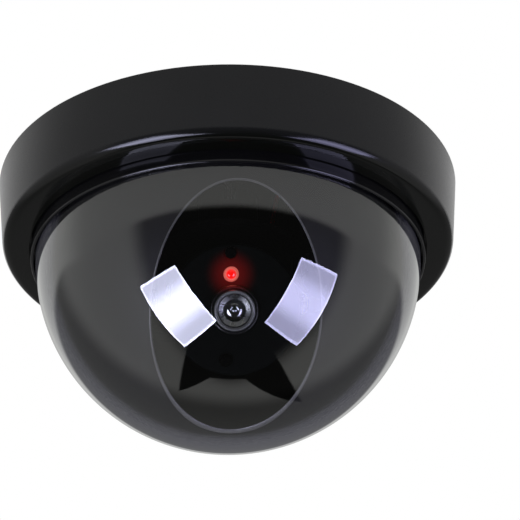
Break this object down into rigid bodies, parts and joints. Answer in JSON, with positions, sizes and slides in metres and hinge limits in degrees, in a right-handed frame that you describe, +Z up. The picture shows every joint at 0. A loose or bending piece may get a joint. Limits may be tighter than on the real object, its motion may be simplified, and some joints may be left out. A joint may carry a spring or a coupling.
{
  "type": "dome camera",
  "caption": "Ceiling dome security camera: round twist-off housing, clear dome over a panning liner, tilting lens head with a red indicator LED.",
  "frame": {"origin": "centre of the mounting plate's ceiling face", "axes": "+Z up into the ceiling and out of the plate; the dome hangs towards -Z; the lens looks towards -Y and down; +X is to the right when seen from the front"},
  "size_m": [0.1226, 0.1226, 0.0725],
  "materials": {
    "housing_black": "fine-textured black ABS, satin",
    "gloss_black": "polished black ABS",
    "clear_dome": "clear polished acrylic",
    "liner_grey": "dark grey satin moulding",
    "inner_black": "black ABS, as moulded",
    "gasket_rubber": "soft black rubber",
    "steel": "zinc-plated steel",
    "black_steel": "black-oxide steel",
    "nickel": "nickel-plated spring steel",
    "nylon": "natural nylon",
    "lens_black": "black anodised look, semi-gloss",
    "lens_glass": "coated optical glass",
    "led_red": "clear red epoxy, lit",
    "board_green": "green solder mask",
    "chip_black": "black moulded epoxy",
    "resistor_tan": "tan lacquer with colour bands",
    "cell_sleeve": "plain shrink sleeve",
    "lead_red": "red PVC insulation",
    "lead_black": "black PVC insulation",
    "switch_white": "white nylon"
  },
  "bodies": {
    "base": {"mounting_plate": "inner_black", "battery_holder_left": "inner_black", "battery_holder_right": "inner_black", "battery_left": "cell_sleeve", "battery_right": "cell_sleeve", "contact_spring_left": "nickel", "contact_spring_right": "nickel", "contact_tab_left": "nickel", "contact_tab_right": "nickel", "contact_plate_left": "nickel", "contact_plate_right": "nickel", "holder_screw_left": "steel", "holder_screw_right": "steel", "switch_body": "steel", "lead_battery_link": "lead_black", "lead_battery_minus": "lead_black", "lead_battery_plus": "lead_red", "lead_switch": "lead_red", "lead_hub": "lead_black", "pan_washer": "nylon", "pan_retaining_ring": "steel"},
    "switch": {"switch_slider": "switch_white"},
    "cover": {"housing_ring": "housing_black", "dome_bezel": "gloss_black", "dome_window": "clear_dome", "dome_gasket": "gasket_rubber", "dome_clamp_ring": "inner_black", "clamp_screw_1": "steel", "clamp_screw_2": "steel", "clamp_screw_3": "steel"},
    "pan": {"pan_yoke": "inner_black", "inner_liner": "liner_grey", "liner_screw_1": "steel", "liner_screw_2": "steel", "liner_screw_3": "steel", "tilt_washer_left": "nylon", "tilt_washer_right": "nylon", "lead_neck": "lead_black"},
    "head": {"head_shell": "inner_black", "face_plate": "inner_black", "face_screw_upper": "black_steel", "face_screw_lower": "black_steel", "lens_holder": "lens_black", "lens_barrel": "lens_black", "lens_retainer": "lens_black", "lens_glass_front": "lens_glass", "lens_stop": "lens_black", "lens_glass_rear": "lens_glass", "led": "led_red", "flasher_board": "board_green", "flasher_chip": "chip_black", "led_resistor": "resistor_tan", "board_screw_left": "steel", "board_screw_right": "steel", "tilt_screw_left": "steel", "tilt_screw_right": "steel", "lead_head": "lead_black"}
  },
  "joints": [
    {"name": "cover_twist", "type": "hinge", "parent": "base", "child": "cover", "pos_m": [0, 0, -0.004], "axis": [0, 0, 1], "range_deg": [0, 15]},
    {"name": "pan", "type": "hinge", "parent": "base", "child": "pan", "pos_m": [0, 0, -0.0214], "axis": [0, 0, 1], "range_deg": [-170, 170]},
    {"name": "tilt", "type": "hinge", "parent": "pan", "child": "head", "pos_m": [0, 0, -0.0335], "axis": [1, 0, 0], "range_deg": [-20, 55]},
    {"name": "switch_slide", "type": "slide", "parent": "base", "child": "switch", "axis": [1, 0, 0], "range_m": [0, 0.002]}
  ]
}
